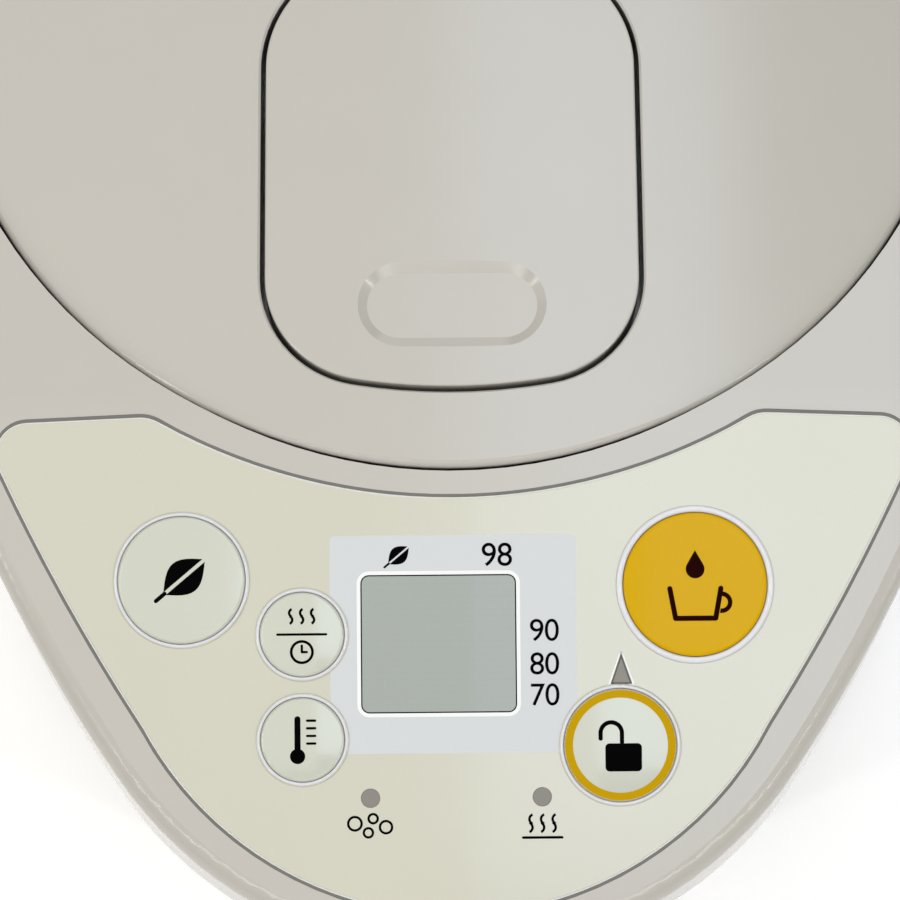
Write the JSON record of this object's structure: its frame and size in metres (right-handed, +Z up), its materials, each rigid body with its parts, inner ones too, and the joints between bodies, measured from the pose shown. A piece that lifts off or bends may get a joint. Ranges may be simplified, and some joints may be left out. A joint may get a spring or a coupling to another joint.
{
  "type": "electric thermo pot",
  "caption": "Round electric hot-water dispensing pot with a hinged latching lid, a sloping control nose with keys and a display, a spout under it, a carrying bail and a swivel foot.",
  "frame": {"origin": "centre of the foot ring's underside, on the table, on the axis of the swivel and the body", "axes": "+Z up, -Y towards the control nose and spout, +X to the right seen from the front"},
  "size_m": [0.211, 0.2819, 0.267],
  "materials": {
    "grey_shell": "warm light grey, satin gloss",
    "panel_film": "pearl cream, gloss",
    "key_cream": "pearl cream, gloss",
    "key_orange": "orange, gloss",
    "display_window": "clear over a grey-green display",
    "lamp": "frosted grey",
    "case_coat": "coated steel, warm silver grey",
    "stainless": "brushed",
    "steel_pin": "bright",
    "dark_plastic": "dark grey",
    "pale_plastic": "light grey",
    "clear_gauge": "clear",
    "silicone": "translucent white",
    "felt_wrap": "white felt",
    "heater_mica": "mica",
    "motor_can": "plain",
    "circuit_board": "green",
    "switch_black": "black"
  },
  "bodies": {
    "swivel_foot": {"foot_ring": "dark_plastic", "turntable": "pale_plastic", "turntable_clip": "dark_plastic"},
    "pot": {"base_housing": "grey_shell", "bottom_cover": "dark_plastic", "base_screws": "steel_pin", "outer_case": "case_coat", "shoulder_frame": "grey_shell", "nose_cover": "grey_shell", "pivot_pins": "pale_plastic", "hinge_pin": "steel_pin", "control_panel": "panel_film", "lcd_window": "display_window", "lcd_module": "pale_plastic", "lamp_lenses": "lamp", "control_board": "circuit_board", "tact_switches": "switch_black", "gauge_window": "clear_gauge", "gauge_tube": "clear_gauge", "gauge_backplate": "pale_plastic", "spout_pipe": "silicone", "tip_valve_housing": "pale_plastic", "spout_nozzle": "silicone", "inner_vessel": "stainless", "vessel_gasket": "silicone", "insulation_wrap": "felt_wrap", "main_heater": "heater_mica", "heater_clamp": "stainless", "thermistor": "motor_can", "thermal_fuse": "motor_can", "vessel_supports": "stainless", "pump_housing": "pale_plastic", "pump_cover": "pale_plastic", "pump_motor": "motor_can", "inlet_tube": "silicone", "feed_tube": "silicone", "power_board": "circuit_board", "inlet_socket": "grey_shell", "contact_pins": "steel_pin"},
    "lid": {"lid_shell": "grey_shell", "lid_base": "pale_plastic", "inner_lid": "stainless", "lid_gasket": "silicone", "steam_vent_cap": "grey_shell", "steam_pipe": "stainless", "lever_pin": "steel_pin", "lid_screws": "steel_pin", "hook_spring": "steel_pin"},
    "lever": {"lid_lever": "grey_shell"},
    "hook": {"lid_hook": "pale_plastic"},
    "carry_handle": {"handle": "grey_shell"},
    "dispense_key": {"dispense_button": "key_orange"},
    "unlock_key": {"unlock_button": "key_cream"},
    "energy_key": {"energy_button": "key_cream"},
    "timer_key": {"timer_button": "key_cream"},
    "temperature_key": {"temperature_button": "key_cream"},
    "pump_rotor": {"impeller": "pale_plastic"},
    "motor_rotor": {"drive_magnet": "motor_can"},
    "valve_ball": {"tip_valve_ball": "steel_pin"}
  },
  "joints": [
    {"name": "swivel", "type": "hinge", "parent": "swivel_foot", "child": "pot", "pos_m": [0, 0, 0.0065], "axis": [0, 0, 1], "continuous": true},
    {"name": "lid_hinge", "type": "hinge", "parent": "pot", "child": "lid", "pos_m": [0, 0.094, 0.26], "axis": [-1, 0, 0], "range_deg": [0, 80]},
    {"name": "lever_press", "type": "hinge", "parent": "lid", "child": "lever", "pos_m": [0, -0.002, 0.2585], "axis": [1, 0, 0], "range_deg": [0, 4.5], "stiffness_Nm_per_rad": 0.3, "springref_deg": -5.73},
    {"name": "hook_slide", "type": "slide", "parent": "lid", "child": "hook", "axis": [0, 1, 0], "range_m": [0, 0.0037], "deforming": ["hook_spring"]},
    {"name": "handle_swing", "type": "hinge", "parent": "pot", "child": "carry_handle", "pos_m": [0, 0, 0.244], "axis": [1, 0, 0], "range_deg": [0, 90]},
    {"name": "dispense_press", "type": "slide", "parent": "pot", "child": "dispense_key", "axis": [0, 0.2924, -0.9563], "range_m": [0, 0.0006], "stiffness_N_per_m": 1000, "springref_m": -0.0005},
    {"name": "unlock_press", "type": "slide", "parent": "pot", "child": "unlock_key", "axis": [0, 0.2924, -0.9563], "range_m": [0, 0.0006], "stiffness_N_per_m": 1000, "springref_m": -0.0005},
    {"name": "energy_press", "type": "slide", "parent": "pot", "child": "energy_key", "axis": [0, 0.2924, -0.9563], "range_m": [0, 0.0006], "stiffness_N_per_m": 1000, "springref_m": -0.0005},
    {"name": "timer_press", "type": "slide", "parent": "pot", "child": "timer_key", "axis": [0, 0.2924, -0.9563], "range_m": [0, 0.0006], "stiffness_N_per_m": 1000, "springref_m": -0.0005},
    {"name": "temperature_press", "type": "slide", "parent": "pot", "child": "temperature_key", "axis": [0, 0.2924, -0.9563], "range_m": [0, 0.0006], "stiffness_N_per_m": 1000, "springref_m": -0.0005},
    {"name": "motor_spin", "type": "hinge", "parent": "pot", "child": "motor_rotor", "pos_m": [0, -0.062, 0.027], "axis": [0, 0, 1], "continuous": true},
    {"name": "pump_spin", "type": "hinge", "parent": "pot", "child": "pump_rotor", "pos_m": [0, -0.062, 0.034], "axis": [0, 0, 1], "continuous": true},
    {"name": "ball_lift", "type": "slide", "parent": "pot", "child": "valve_ball", "axis": [0, 0, 1], "range_m": [0, 0.008]}
  ],
  "couplings": [
    {"joint": "hook_slide", "follows": "lever_press", "m_per_rad": 0.04584},
    {"joint": "pump_spin", "follows": "motor_spin", "ratio": 1}
  ]
}
